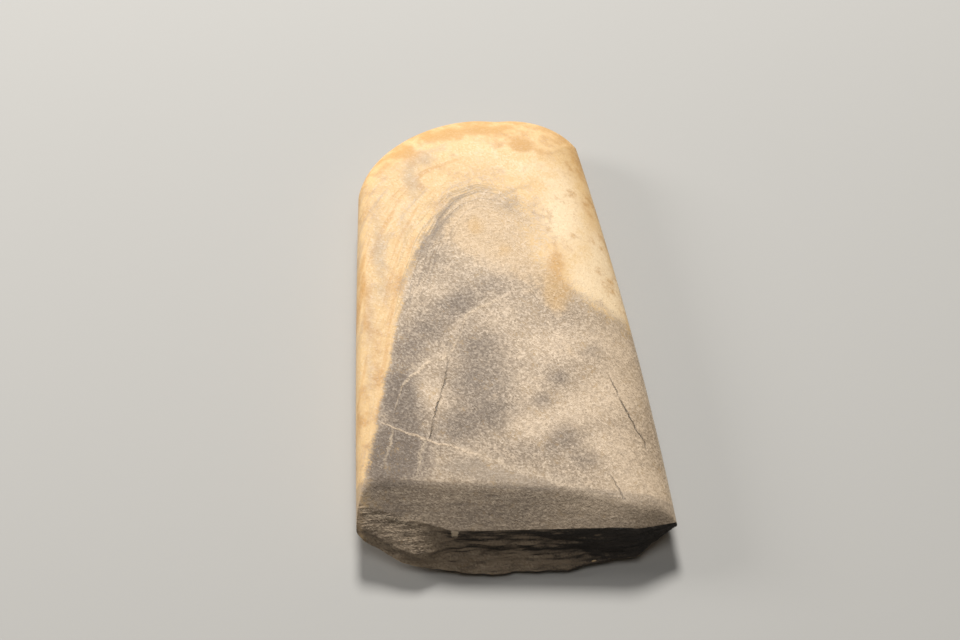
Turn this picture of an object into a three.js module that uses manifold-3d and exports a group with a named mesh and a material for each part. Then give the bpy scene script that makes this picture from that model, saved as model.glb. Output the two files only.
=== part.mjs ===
// A ground stone adze blade, made of one piece of fine banded stone.
// It lies on its rounded underside: +Z is up, +Y runs from the broken edge to the poll (the butt end),
// and +X is to the right when the edge faces the viewer. Lengths are in millimetres.
//
// The blade is shaped as its maker shaped it. A pillow of stone gets a flat ground on its upper face,
// a bevel ground towards the edge and a small flat worn on its belly. Then the edge breaks away
// and leaves a face of ledges.
import * as THREE from "three";
import { mergeVertices } from "three/addons/utils/BufferGeometryUtils.js";
import Module from "manifold-3d";

const wasm = await Module();
wasm.setup();

// Plan of the blade
const LENGTH = 109.7; // middle of the broken brow to the top of the poll
const EDGE_WIDTH = 63.1; // across the sides, at the brow
const POLL_WIDTH = 47.2; // across the sides, if they ran on to the top of the poll
const POLL_LEAN = 0.3; // how far the poll stands to the left
const LEFT_BOW = 0.5; // how far each side swells outwards in the middle of its length
const RIGHT_BOW = 1.5;
const LEFT_SHOULDER_DROP = 21; // from the top of the poll down to each shoulder
const RIGHT_SHOULDER_DROP = 10.4;
const LEFT_POLL_RADIUS = 28; // the two arcs of the poll
const RIGHT_POLL_RADIUS = 17.3;
const RIGHT_POLL_DROP = 0.8; // the right arc peaks this much lower
const POLL_BLEND = 7; // one arc passes into the other over this width
const FAN_DEPTH = 27; // the crest line ends this far short of the poll

// Thickness
const THICKNESS = 13.3; // belly flat to seat flat
const CROWN = 0.5; // stone that stood over the seat before the flat was ground
const CREST_Y = 60; // where along the blade the upper face is highest
const CREST_FALL = 1.6; // how much lower the crest is at the brow
const LEFT_ARRIS = 6.3; // height of the side edge, at the left, the right and the poll
const RIGHT_ARRIS = 5.7;
const POLL_ARRIS = 6.6;
const BELLY_WEAR = 0.35; // stone worn off the belly
const BELLY_Y = 47; // where along the blade the belly is lowest
const BELLY_ROCKER = 1.1; // how far the belly rises towards the brow

// How full the cross-section is: the powers of the curve from crest or belly to side
const LEFT_FULLNESS = 26;
const RIGHT_FULLNESS = 3.5;
const POLL_FULLNESS = 3;
const LEFT_BELLY_POWER = 2.6;
const RIGHT_BELLY_POWER = 1.8;
const POLL_BELLY_POWER = 2.2;
const ARRIS_ROUND = 0.22; // share of the belly's rise that the rounded side edge takes
const ARRIS_POWER = 40; // and how tightly it is rounded
const POLL_REACH = 40; // the poll's values take over across this length

// Flats ground on the upper face towards the edge
const BEVEL_START = 6.6; // where the bevel's top line crosses the centre line
const BEVEL_ANGLE = 30; // degrees below level
const BEVEL_SKEW = 8; // degrees that its top line runs off square
const CORNER_INSET = 9.8; // the right corner has a steeper flat, from here to the side
const CORNER_HEIGHT = 11.1; // height of that flat where it meets the bevel, level with the brow
const CORNER_ANGLE = 38;
const CORNER_SKEW = -26;

// Brow: the upper line of the broken edge
const BROW_AHEAD = 0.85; // in front of y = 0, on the centre line
const BROW_SLANT = 0.09; // how far it runs off square, per millimetre of width
const SCAR_WIDTH = 19.5; // at the left, one more flake came off
const SCAR_SLANT = 0.28; // how much faster the brow falls back there
const NIBBLE_WIDTH = 8.5; // and at the right, a small one
const NIBBLE_SLANT = 0.31;
const KNEE = 0.8; // the brow turns from straight to slanting over about this width

// Foot: the lower line of the broken edge
const FOOT_AHEAD = 6.4; // in front of y = 0, where the foot is furthest out
const FOOT_PEAK = 5.4; // and how far to the right of the centre line that is
const FOOT_RADIUS = 115; // in plan
const FLAKE_WIDTH = 11; // at the left, the foot falls back faster
const FLAKE_SLANT = 0.3;
const FOOT_WAVE = 0.3; // depth of the shallow chips along it

// Broken face between brow and foot. Each profile lists its bends: how far down, and how much of the
// forward run is reached there, both as shares. The run is taken mostly by the ledges.
const SCAR_STEPS = [[0, 0], [0.43, 0.7], [0.51, 0.82], [0.94, 0.94], [1, 1]]; // a slope over a wall
const MIDDLE_STEPS = [[0, 0], [0.44, 0.1], [0.5, 0.22], [0.72, 0.28], [0.84, 0.52], [0.9, 0.6], [1, 1]];
const WALL_STEPS = [[0, 0], [0.3, 0.22], [0.36, 0.36], [0.86, 0.6], [1, 1]]; // the steep right end
const SCAR_END = 15.5; // the scar ends this far to the left of the centre line
const WALL_START = 14; // and the steep end starts this far to the right of it
const STEPS_BLEND = 5; // one profile passes into the next over this far to either side
const LEDGE_WANDER = 0.2; // ledges rise and fall along the edge by this share of the depth, at most
const LEAST_DEPTH = 2; // the face is taken as at least this high where it runs out
const SIDE_MARGIN = 1.5; // and within this of a side, as high as it is there
const FACE_RIPPLE = 0.22; // depth of the small ripples between ledges

// Fineness of the faceting
const SIDE_STEPS = 24;
const POLL_STEPS = 40;
const RING_STEPS = 12;
const FACE_COLUMNS = 76;
const FACE_ROWS = 44;

const BLANK_FRONT = -2.5 * FOOT_AHEAD; // the blank starts this far in front of the break
const BLOCK = 4 * LENGTH; // cutting blocks are larger than the blade

const { clamp, lerp, smoothstep, degToRad } = THREE.MathUtils;

// A slow, uneven wave between about -1 and 1.
function waver(t, phase) {
  return 0.55 * Math.sin(t + phase) + 0.3 * Math.sin(2.3 * t + 1.7 * phase) + 0.15 * Math.sin(5.1 * t + 2.9 * phase);
}

// Distance from the centre line to the left (-1) or right (+1) side, at y.
function halfWidth(side, y) {
  const t = y / LENGTH;
  const bow = side < 0 ? LEFT_BOW : RIGHT_BOW;
  return lerp(EDGE_WIDTH, POLL_WIDTH, t) / 2 + 4 * bow * t * (1 - t) - side * POLL_LEAN * t;
}

// One of the poll's two arcs: it rises from its shoulder to its own top, and stays level past it.
function pollArc(side, drop, radius, top) {
  const shoulder = new THREE.Vector2(side * halfWidth(side, LENGTH - drop), LENGTH - drop);
  const centreY = top - radius;
  const centreX = shoulder.x - side * Math.sqrt(radius ** 2 - (shoulder.y - centreY) ** 2);
  const heightAt = (x) => {
    const out = Math.min(radius, Math.max(0, side * (x - centreX)));
    return centreY + Math.sqrt(radius ** 2 - out ** 2);
  };
  return { shoulder, centreX, heightAt };
}

const leftArc = pollArc(-1, LEFT_SHOULDER_DROP, LEFT_POLL_RADIUS, LENGTH);
const rightArc = pollArc(1, RIGHT_SHOULDER_DROP, RIGHT_POLL_RADIUS, LENGTH - RIGHT_POLL_DROP);

// The poll's outline as a height over x.
function pollLine(x) {
  const middle = (leftArc.centreX + rightArc.centreX) / 2;
  const share = smoothstep(x, middle - POLL_BLEND / 2, middle + POLL_BLEND / 2);
  return lerp(leftArc.heightAt(x), rightArc.heightAt(x), share);
}

// The outline from the left front, round the poll, to the right front. Each point is paired with
// the point of the crest line that it is joined to.
function outline() {
  const fan = LENGTH - FAN_DEPTH;
  const sidePoint = (side, y) => new THREE.Vector2(side * halfWidth(side, y), y);
  const rungs = Array.from({ length: SIDE_STEPS + 1 }, (_, k) => lerp(BLANK_FRONT, fan, k / SIDE_STEPS));
  const pair = (point, y) => ({ edge: point, spineY: y });
  const upTo = (side, shoulder) => {
    const steps = Math.max(1, Math.round((shoulder.y - fan) / 4));
    return Array.from({ length: steps - 1 }, (_, k) => sidePoint(side, lerp(fan, shoulder.y, (k + 1) / steps)));
  };
  const { shoulder: from } = leftArc;
  const { shoulder: to } = rightArc;
  const poll = Array.from({ length: POLL_STEPS + 1 }, (_, k) => {
    const x = lerp(from.x, to.x, (1 - Math.cos((Math.PI * k) / POLL_STEPS)) / 2);
    return new THREE.Vector2(x, pollLine(x));
  });
  return [
    ...rungs.map((y) => pair(sidePoint(-1, y), y)),
    ...[...upTo(-1, from), ...poll, ...upTo(1, to).reverse()].map((point) => pair(point, fan)),
    ...rungs.toReversed().map((y) => pair(sidePoint(1, y), y)),
  ];
}

// A value that the left side, the right side and the poll each have their own of.
function around(point, left, right, poll) {
  const across = (1 + point.x / halfWidth(Math.sign(point.x) || 1, point.y)) / 2;
  return lerp(lerp(left, right, across), poll, smoothstep(point.y, LENGTH - POLL_REACH, LENGTH));
}

// Height of the upper face along the centre line, before the flat is ground.
function crest(y) {
  return THICKNESS + CROWN - CREST_FALL * ((y - CREST_Y) / CREST_Y) ** 2;
}

// Height of the belly along the centre line, before the flat is worn.
function belly(y) {
  return BELLY_ROCKER * ((y - BELLY_Y) / BELLY_Y) ** 2 - BELLY_WEAR;
}

// Heights of the upper face and the underside, at a share of the way out from the centre line.
function upperHeight({ edge, spineY }, share) {
  const arris = around(edge, LEFT_ARRIS, RIGHT_ARRIS, POLL_ARRIS);
  const fullness = around(edge, LEFT_FULLNESS, RIGHT_FULLNESS, POLL_FULLNESS);
  return lerp(arris, crest(spineY), Math.sqrt(Math.max(0, 1 - share ** fullness)));
}

function lowerHeight({ edge, spineY }, share) {
  const arris = around(edge, LEFT_ARRIS, RIGHT_ARRIS, POLL_ARRIS);
  const power = around(edge, LEFT_BELLY_POWER, RIGHT_BELLY_POWER, POLL_BELLY_POWER);
  const turnedUp = 1 - Math.sqrt(Math.max(0, 1 - share ** ARRIS_POWER));
  return lerp(belly(spineY), arris, lerp(share ** power, turnedUp, ARRIS_ROUND));
}

// A closed mesh as a solid. Its corners are merged by place.
function solidFrom(geometry) {
  const bare = geometry.clone();
  bare.deleteAttribute("normal");
  bare.deleteAttribute("uv");
  const merged = mergeVertices(bare, 1e-4);
  const vertProperties = new Float32Array(merged.getAttribute("position").array);
  const triVerts = new Uint32Array(merged.index.array).filter((_, i, all) => {
    const [a, b, c] = all.subarray(3 * Math.floor(i / 3));
    return a !== b && b !== c && c !== a;
  });
  return new wasm.Manifold(new wasm.Mesh({ numProp: 3, vertProperties, triVerts }));
}

// A geometry from rows of points: each patch is a grid whose quads are split into triangles.
function geometryFrom(patches) {
  const position = [];
  for (const rows of patches)
    for (let i = 0; i + 1 < rows.length; i++)
      for (let j = 0; j + 1 < rows[i].length; j++) {
        const [a, b, c, d] = [rows[i][j], rows[i + 1][j], rows[i + 1][j + 1], rows[i][j + 1]];
        for (const point of [a, b, c, a, c, d]) position.push(point.x, point.y, point.z);
      }
  return new THREE.BufferGeometry().setAttribute("position", new THREE.Float32BufferAttribute(position, 3));
}

// The blank: an upper sheet and a lower sheet that meet at the side edge, with a flat front end.
function blank() {
  const pairs = outline();
  const shares = Array.from({ length: RING_STEPS + 1 }, (_, k) => 1 - (1 - k / RING_STEPS) ** 2.2);
  const sheet = (heightOf) =>
    pairs.map((pair) =>
      shares.map((share) => {
        const y = lerp(pair.spineY, pair.edge.y, share);
        return new THREE.Vector3(pair.edge.x * share, y, heightOf(pair, share));
      }),
    );
  const upper = sheet(upperHeight);
  const lower = sheet(lowerHeight);
  const front = [
    [...upper[0].toReversed(), ...upper.at(-1).slice(1)],
    [...lower[0].toReversed(), ...lower.at(-1).slice(1)],
  ];
  return geometryFrom([upper, lower.toReversed(), front]);
}

// A large block whose lower face is a flat.
function blockOver({ at, fall = 0, skew = 0 }) {
  return new THREE.BoxGeometry(BLOCK, BLOCK, BLOCK)
    .translate(0, 0, BLOCK / 2)
    .rotateX(degToRad(fall))
    .rotateZ(-degToRad(skew))
    .translate(at.x, at.y, at.z);
}

// How far a line has fallen back, some way into a flake.
function fallBack(into, slant) {
  const t = Math.max(0, into);
  return (slant * t ** 2) / (t + KNEE);
}

// The brow and the foot, as distances along the blade over x.
function brow(x) {
  const fromLeft = EDGE_WIDTH / 2 + x;
  const fromRight = EDGE_WIDTH / 2 - x;
  const flakes = fallBack(SCAR_WIDTH - fromLeft, SCAR_SLANT) + fallBack(NIBBLE_WIDTH - fromRight, NIBBLE_SLANT);
  return flakes - BROW_AHEAD - BROW_SLANT * x;
}

function foot(x) {
  const fromLeft = EDGE_WIDTH / 2 + x;
  const fromRight = EDGE_WIDTH / 2 - x;
  const flakes = fallBack(FLAKE_WIDTH - fromLeft, FLAKE_SLANT) + fallBack(NIBBLE_WIDTH - fromRight, NIBBLE_SLANT);
  const chips = FOOT_WAVE * waver(0.42 * x, 1.3);
  return (x - FOOT_PEAK) ** 2 / (2 * FOOT_RADIUS) - FOOT_AHEAD + flakes + chips;
}

// A flat ground on the upper face: a point on it, its fall towards the edge and its skew, in degrees.
const bevel = { at: new THREE.Vector3(0, BEVEL_START, crest(BEVEL_START)), fall: BEVEL_ANGLE, skew: BEVEL_SKEW };
const corner = {
  at: new THREE.Vector3(EDGE_WIDTH / 2 - CORNER_INSET, 0, CORNER_HEIGHT),
  fall: CORNER_ANGLE,
  skew: CORNER_SKEW,
};

// Height of a flat above a place in plan.
function flatHeight({ at, fall, skew }, x, y) {
  const turn = degToRad(skew);
  const ahead = (at.y - y) * Math.cos(turn) - (x - at.x) * Math.sin(turn);
  return at.z - Math.tan(degToRad(fall)) * ahead;
}

// Heights of the blade's two faces at the broken end.
function faceHeights(x, y) {
  const side = x < 0 ? -1 : 1;
  const pair = { edge: new THREE.Vector2(side * halfWidth(side, y), y), spineY: y };
  const share = Math.min(1, x / pair.edge.x);
  const flats = [bevel, corner].map((flat) => flatHeight(flat, x, y));
  return { upper: Math.min(upperHeight(pair, share), THICKNESS, ...flats), lower: lowerHeight(pair, share) };
}

// Share of the forward run that a profile has reached, some share of the way down.
function runAt(steps, depth) {
  const down = clamp(depth, 0, 1);
  const next = Math.max(1, steps.findIndex(([bend]) => bend >= down));
  const [above, runAbove] = steps[next - 1];
  const [below, runBelow] = steps[next];
  return lerp(runAbove, runBelow, (down - above) / (below - above));
}

// The broken face, as a distance along the blade over x and z: it steps forward from brow to foot.
function brokenFace(x, z) {
  const within = EDGE_WIDTH / 2 - SIDE_MARGIN;
  const inner = clamp(x, -within, within);
  const top = faceHeights(inner, brow(inner)).upper;
  const bottom = faceHeights(inner, foot(inner)).lower;
  const level = (top - z) / Math.max(LEAST_DEPTH, top - bottom);
  const depth = level + LEDGE_WANDER * level * (1 - level) * waver(0.23 * x, 2.1);
  const scar = 1 - smoothstep(x, -SCAR_END - STEPS_BLEND, -SCAR_END + STEPS_BLEND);
  const wall = smoothstep(x, WALL_START - STEPS_BLEND, WALL_START + STEPS_BLEND);
  const ledges = lerp(runAt(MIDDLE_STEPS, depth), runAt(SCAR_STEPS, depth), scar);
  const run = lerp(ledges, runAt(WALL_STEPS, depth), wall);
  const ripple = FACE_RIPPLE * waver(0.35 * x, 1.1 * z) * smoothstep(depth, 0, 0.15);
  return lerp(brow(x), foot(x), run) + ripple;
}

// The stone that broke away in front of that face.
function lostEdge() {
  const reach = 0.6 * EDGE_WIDTH;
  const grid = (pointAt) =>
    Array.from({ length: FACE_COLUMNS + 1 }, (_, i) =>
      Array.from({ length: FACE_ROWS + 1 }, (_, j) =>
        pointAt(lerp(-reach, reach, i / FACE_COLUMNS), lerp(-0.3, 1.3, j / FACE_ROWS) * THICKNESS),
      ),
    );
  const back = grid((x, z) => new THREE.Vector3(x, brokenFace(x, z), z));
  const front = grid((x, z) => new THREE.Vector3(x, 2 * BLANK_FRONT, z));
  const low = (columns) => columns.map((column) => column[0]);
  const high = (columns) => columns.map((column) => column.at(-1));
  return geometryFrom([
    back.toReversed(),
    front,
    [back[0], front[0]],
    [front.at(-1), back.at(-1)],
    [low(front), low(back)],
    [high(back), high(front)],
  ]);
}

// The finished blade, with its origin under the middle of its plan, on the surface it lies on.
function bladeGeometry() {
  const seat = { at: new THREE.Vector3(0, 0, THICKNESS) };
  const rest = { at: new THREE.Vector3(0, 0, -BLOCK) };
  const cuts = [...[seat, rest, bevel, corner].map(blockOver), lostEdge()];
  const solid = cuts.reduce((left, cut) => left.subtract(solidFrom(cut)), solidFrom(blank()));
  const { vertProperties, triVerts } = solid.getMesh();
  const geometry = new THREE.BufferGeometry()
    .setAttribute("position", new THREE.BufferAttribute(vertProperties, 3))
    .setIndex(new THREE.BufferAttribute(triVerts, 1));
  geometry.computeBoundingBox();
  const { min, max } = geometry.boundingBox;
  return geometry.translate(-(min.x + max.x) / 2, -(min.y + max.y) / 2, -min.z);
}

const stone = new THREE.MeshStandardMaterial({ color: 0xc8b296, roughness: 0.72, metalness: 0 });

const blade = new THREE.Mesh(bladeGeometry(), stone);
blade.name = "adze_blade";

const adze = new THREE.Group();
adze.name = "stone_adze";
adze.add(blade);

export default adze;
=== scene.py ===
"""Looks of a ground stone adze blade with a broken cutting edge.

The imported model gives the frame. One finely modelled piece stands for its solid: the same form, with
the softened flats, the rough broken face and the chips that faceted solids leave out. Two node
materials give the ground surface and the broken surface of the banded stone.

The blade has a frame of its own, in millimetres: x = 0 on its centre line, y = 0 at the brow of the
break and z = 0 at the surface that it lies on.
"""

from __future__ import annotations

import logging
import math
from dataclasses import dataclass
from enum import Enum

import bmesh
import bpy
import numpy as np
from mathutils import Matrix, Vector, noise

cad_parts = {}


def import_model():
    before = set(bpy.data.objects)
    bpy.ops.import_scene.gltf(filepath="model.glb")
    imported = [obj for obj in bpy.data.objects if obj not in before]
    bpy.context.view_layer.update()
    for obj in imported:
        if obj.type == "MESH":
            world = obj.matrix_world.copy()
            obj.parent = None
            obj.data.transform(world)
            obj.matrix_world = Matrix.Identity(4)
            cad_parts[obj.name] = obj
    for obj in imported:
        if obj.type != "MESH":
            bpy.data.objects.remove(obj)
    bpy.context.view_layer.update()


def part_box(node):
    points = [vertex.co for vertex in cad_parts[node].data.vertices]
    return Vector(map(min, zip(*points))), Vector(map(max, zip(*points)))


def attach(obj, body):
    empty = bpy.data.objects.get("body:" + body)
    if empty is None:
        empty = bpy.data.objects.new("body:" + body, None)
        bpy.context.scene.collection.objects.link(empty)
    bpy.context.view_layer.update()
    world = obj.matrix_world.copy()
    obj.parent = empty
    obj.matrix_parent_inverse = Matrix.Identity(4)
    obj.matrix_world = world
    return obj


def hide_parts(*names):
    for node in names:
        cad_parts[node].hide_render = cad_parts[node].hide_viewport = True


LOG = logging.getLogger("adze")
MM = 0.001  # metres in a millimetre
CAD_NODE = "adze_blade"
UNDER, OVER, MIXED = 6, 7, 2  # colour sockets of a Mix node, whose names stand for other types too

Numbers = float | np.ndarray  # one value, or one for each place
Socket = bpy.types.NodeSocket
Point = tuple[float, float, float]


class Side(Enum):
    """The two sides of the blade, seen from its edge."""

    LEFT = -1
    RIGHT = 1


class Sheet(Enum):
    """The two surfaces that meet along the blade's side."""

    UPPER = 1
    LOWER = -1


class Travel(Enum):
    """Which way a thin line runs over the face."""

    ALONG = "along"
    ACROSS = "across"


def lerp(start: Numbers, end: Numbers, share: Numbers) -> Numbers:
    """Value that lies a share of the way from start to end."""
    return start + (end - start) * share


def smoothstep(value: Numbers, low: Numbers, high: Numbers) -> Numbers:
    """Share from 0 at low to 1 at high, with level ends."""
    share = np.clip((value - low) / (high - low), 0.0, 1.0)
    return share * share * (3.0 - 2.0 * share)


def soft_min(first: Numbers, second: Numbers, blend: Numbers) -> Numbers:
    """Lower of two heights, with the crease between them rounded over a height of blend."""
    closeness = np.maximum(blend - np.abs(first - second), 0.0) / blend
    return np.minimum(first, second) - closeness**2 * blend / 4.0


def waver(value: Numbers, phase: Numbers) -> Numbers:
    """Slow, uneven wave between about -1 and 1: three sines whose lengths share no common measure."""
    longer = 0.55 * np.sin(value + phase) + 0.30 * np.sin(2.3 * value + 1.7 * phase)
    return longer + 0.15 * np.sin(5.1 * value + 2.9 * phase)


@dataclass(frozen=True)
class Flat:
    """A flat ground on the upper face: a point on it, its fall to the edge and its skew in degrees."""

    x: float
    y: float
    z: float
    fall: float
    skew: float

    def height(self, x: Numbers, y: Numbers) -> Numbers:
        """Height of the flat above a place in plan.

        Args:
            x: Place across the blade.
            y: Place along it.

        Returns:
            The height.
        """
        turn = math.radians(self.skew)
        ahead = (self.y - y) * math.cos(turn) - (x - self.x) * math.sin(turn)
        return self.z - math.tan(math.radians(self.fall)) * ahead


@dataclass(frozen=True)
class Steps:
    """How one stretch of the broken face steps forward on its way down.

    Attributes:
        knots: Share of the way down from brow to foot, and share of the forward run, at each bend.
    """

    knots: tuple[tuple[float, float], ...]

    def run(self, depth: Numbers) -> Numbers:
        """Share of the forward run at a share of the way down."""
        return np.interp(depth, [knot[0] for knot in self.knots], [knot[1] for knot in self.knots])


@dataclass(frozen=True)
class BladeForm:
    """Form of the blade in its own frame, in millimetres, with the same sizes as the CAD solid."""

    length: float = 109.7
    edge_width: float = 63.1
    poll_width: float = 47.2
    poll_lean: float = 0.3
    left_bow: float = 0.5
    right_bow: float = 1.5
    left_shoulder_drop: float = 21.0
    right_shoulder_drop: float = 10.4
    left_poll_radius: float = 28.0
    right_poll_radius: float = 17.3
    right_poll_drop: float = 0.8
    poll_blend: float = 7.0
    fan_depth: float = 27.0

    thickness: float = 13.3
    crown: float = 0.5
    crest_y: float = 60.0
    crest_fall: float = 1.6
    arris: Point = (6.3, 5.7, 6.6)  # height of the left side, right side and poll
    belly_wear: float = 0.35
    belly_y: float = 47.0
    belly_rocker: float = 1.1
    fullness: Point = (26.0, 3.5, 3.0)  # how full the upper face is towards each of these
    belly_power: Point = (2.6, 1.8, 2.2)  # and how full the belly is
    poll_reach: float = 40.0
    arris_round: float = 0.22  # share of the belly's rise that the rounded side edge takes
    arris_power: float = 40.0

    bevel_start: float = 6.6
    bevel_angle: float = 30.0
    bevel_skew: float = 8.0
    corner_inset: float = 9.8
    corner_height: float = 11.1
    corner_angle: float = 38.0
    corner_skew: float = -26.0
    corner_gap: float = 0.02  # how far the side edge stays under the corner's flat
    bevel_blend: float = 0.55  # how softly the flats meet
    corner_blend: float = 1.4
    corner_fade: int = 6  # power by which that softness ends at the outline
    least_blend: float = 0.01
    seat_blend: float = 0.12

    brow_ahead: float = 0.85
    brow_slant: float = 0.09
    scar_width: float = 19.5
    scar_slant: float = 0.28
    nibble_width: float = 8.5
    nibble_slant: float = 0.31
    knee: float = 0.8  # how gently a line takes up the slant of a flake
    foot_ahead: float = 6.4
    foot_peak: float = 5.4
    foot_radius: float = 115.0
    flake_width: float = 11.0
    flake_slant: float = 0.3
    foot_chips: Point = (0.3, 0.42, 1.3)  # depth, radians a millimetre and phase
    scar_steps: Steps = Steps(((0.0, 0.0), (0.43, 0.70), (0.51, 0.82), (0.94, 0.94), (1.0, 1.0)))
    middle_steps: Steps = Steps(
        ((0.0, 0.0), (0.44, 0.10), (0.50, 0.22), (0.72, 0.28), (0.84, 0.52), (0.90, 0.60), (1.0, 1.0))
    )
    wall_steps: Steps = Steps(((0.0, 0.0), (0.30, 0.22), (0.36, 0.36), (0.86, 0.60), (1.0, 1.0)))
    scar_end: float = 15.5  # where the scar at the left gives way to the ledges, left of the middle
    wall_start: float = 14.0  # where the ledges give way to the wall, right of the middle
    steps_blend: float = 5.0
    ledge_wander: Point = (0.05, 0.23, 2.1)  # depth share, radians a millimetre and phase
    least_depth: float = 2.0
    side_margin: float = 1.5
    face_ripple: Point = (0.22, 0.35, 1.1)  # depth, and radians a millimetre across and down
    ripple_start: float = 0.15  # share of the way down at which the ripple is full

    @property
    def fan(self) -> float:
        """Where the crest line ends and the poll's rings fan out."""
        return self.length - self.fan_depth

    def half_width(self, side: Numbers, y: Numbers) -> Numbers:
        """Distance from the centre line to a side.

        Args:
            side: -1 for the left side and 1 for the right side.
            y: Place along the blade.

        Returns:
            The distance.
        """
        t = y / self.length
        bow = np.where(side < 0, self.left_bow, self.right_bow)
        straight = lerp(self.edge_width, self.poll_width, t) / 2
        return straight + 4 * bow * t * (1 - t) - side * self.poll_lean * t

    def shoulder(self, side: Side) -> tuple[float, float]:
        """Point where a side ends and the poll begins.

        Args:
            side: Which side.

        Returns:
            Its x and y.
        """
        drop = self.left_shoulder_drop if side is Side.LEFT else self.right_shoulder_drop
        y = self.length - drop
        return side.value * float(self.half_width(side.value, y)), y

    def poll_arc(self, side: Side, x: Numbers) -> tuple[Numbers, float]:
        """One of the two arcs of the poll.

        Args:
            side: Which of the two arcs.
            x: Places across the blade.

        Returns:
            The arc's y over x, level past its top, and the x of its centre.
        """
        shoulder_x, shoulder_y = self.shoulder(side)
        left = side is Side.LEFT
        radius = self.left_poll_radius if left else self.right_poll_radius
        centre_y = self.length - (0.0 if left else self.right_poll_drop) - radius
        centre_x = shoulder_x - side.value * math.sqrt(radius**2 - (shoulder_y - centre_y) ** 2)
        out = np.clip(side.value * (x - centre_x), 0.0, radius)
        return centre_y + np.sqrt(radius**2 - out**2), centre_x

    def poll_line(self, x: Numbers) -> Numbers:
        """Outline of the poll.

        Args:
            x: Places across the blade.

        Returns:
            The outline's y over x.
        """
        left, left_centre = self.poll_arc(Side.LEFT, x)
        right, right_centre = self.poll_arc(Side.RIGHT, x)
        middle = (left_centre + right_centre) / 2
        share = smoothstep(x, middle - self.poll_blend / 2, middle + self.poll_blend / 2)
        return lerp(left, right, share)

    def around(self, edge_x: Numbers, edge_y: Numbers, values: Point) -> Numbers:
        """Value at an outline point, out of those of the left side, the right side and the poll.

        Args:
            edge_x: The point's x.
            edge_y: The point's y.
            values: The three values.

        Returns:
            The blended value.
        """
        side = np.where(edge_x < 0, -1.0, 1.0)
        across = (1 + edge_x / self.half_width(side, edge_y)) / 2
        to_poll = smoothstep(edge_y, self.length - self.poll_reach, self.length)
        return lerp(lerp(values[0], values[1], across), values[2], to_poll)

    def crest(self, y: Numbers) -> Numbers:
        """Height of the upper face along the centre line, before its flat was ground."""
        return self.thickness + self.crown - self.crest_fall * ((y - self.crest_y) / self.crest_y) ** 2

    def belly(self, y: Numbers) -> Numbers:
        """Height of the belly along the centre line, before it was worn flat."""
        return self.belly_rocker * ((y - self.belly_y) / self.belly_y) ** 2 - self.belly_wear

    def flats(self) -> tuple[Flat, Flat]:
        """The flats that were ground at the edge.

        Returns:
            The bevel, and the steeper flat at the right corner.
        """
        brow_height = float(self.crest(self.bevel_start))
        bevel = Flat(0.0, self.bevel_start, brow_height, self.bevel_angle, self.bevel_skew)
        inset = self.edge_width / 2 - self.corner_inset
        return bevel, Flat(inset, 0.0, self.corner_height, self.corner_angle, self.corner_skew)

    def height(
        self, sheet: Sheet, share: Numbers, edge_x: Numbers, edge_y: Numbers, spine_y: Numbers
    ) -> Numbers:
        """Height of a surface, some share of the way from the crest line out to the outline.

        Args:
            sheet: The upper or the lower surface.
            share: 0 on the crest line and 1 on the outline.
            edge_x: The x of the outline point on the same ray.
            edge_y: The y of that point.
            spine_y: The y of the crest line's point on the same ray.

        Returns:
            The height over the surface that the blade lies on.
        """
        bevel, corner = self.flats()
        under_corner = corner.height(edge_x, edge_y) - self.corner_gap
        arris = np.minimum(self.around(edge_x, edge_y, self.arris), under_corner)
        if sheet is Sheet.LOWER:
            power = self.around(edge_x, edge_y, self.belly_power)
            turned_up = 1 - np.sqrt(np.maximum(0.0, 1 - share**self.arris_power))
            rise = lerp(share**power, turned_up, self.arris_round)
            return np.maximum(0.0, lerp(self.belly(spine_y), arris, rise))
        fullness = self.around(edge_x, edge_y, self.fullness)
        pillow = lerp(arris, self.crest(spine_y), np.sqrt(np.maximum(0.0, 1 - share**fullness)))
        x = edge_x * share
        y = lerp(spine_y, edge_y, share)
        ground = soft_min(pillow, np.full_like(pillow, self.thickness), self.seat_blend)
        ground = soft_min(ground, bevel.height(x, y), self.bevel_blend)
        corner_blend = self.corner_blend * (1 - share**self.corner_fade) + self.least_blend
        return soft_min(ground, corner.height(x, y), corner_blend)

    def side_height(self, sheet: Sheet, across: Numbers, y: Numbers) -> Numbers:
        """Height short of the poll, at a share across from -1 (left side) to 1 (right side)."""
        side = np.where(across < 0, -1.0, 1.0)
        return self.height(sheet, np.abs(across), side * self.half_width(side, y), y, y)

    def fall_back(self, into: Numbers, slant: float) -> Numbers:
        """How far a line has fallen back, some way into a flake."""
        t = np.maximum(0.0, into)
        return slant * t**2 / (t + self.knee)

    def brow(self, x: Numbers) -> Numbers:
        """Upper line of the break.

        Args:
            x: Places across the blade.

        Returns:
            The line's y over x.
        """
        half = self.edge_width / 2
        flakes = self.fall_back(self.scar_width - half - x, self.scar_slant)
        flakes = flakes + self.fall_back(self.nibble_width - half + x, self.nibble_slant)
        return flakes - self.brow_ahead - self.brow_slant * x

    def foot(self, x: Numbers) -> Numbers:
        """Lower line of the break.

        Args:
            x: Places across the blade.

        Returns:
            The line's y over x.
        """
        half = self.edge_width / 2
        flakes = self.fall_back(self.flake_width - half - x, self.flake_slant)
        flakes = flakes + self.fall_back(self.nibble_width - half + x, self.nibble_slant)
        depth, pace, phase = self.foot_chips
        chips = depth * waver(pace * x, phase)
        return (x - self.foot_peak) ** 2 / (2 * self.foot_radius) - self.foot_ahead + flakes + chips

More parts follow.
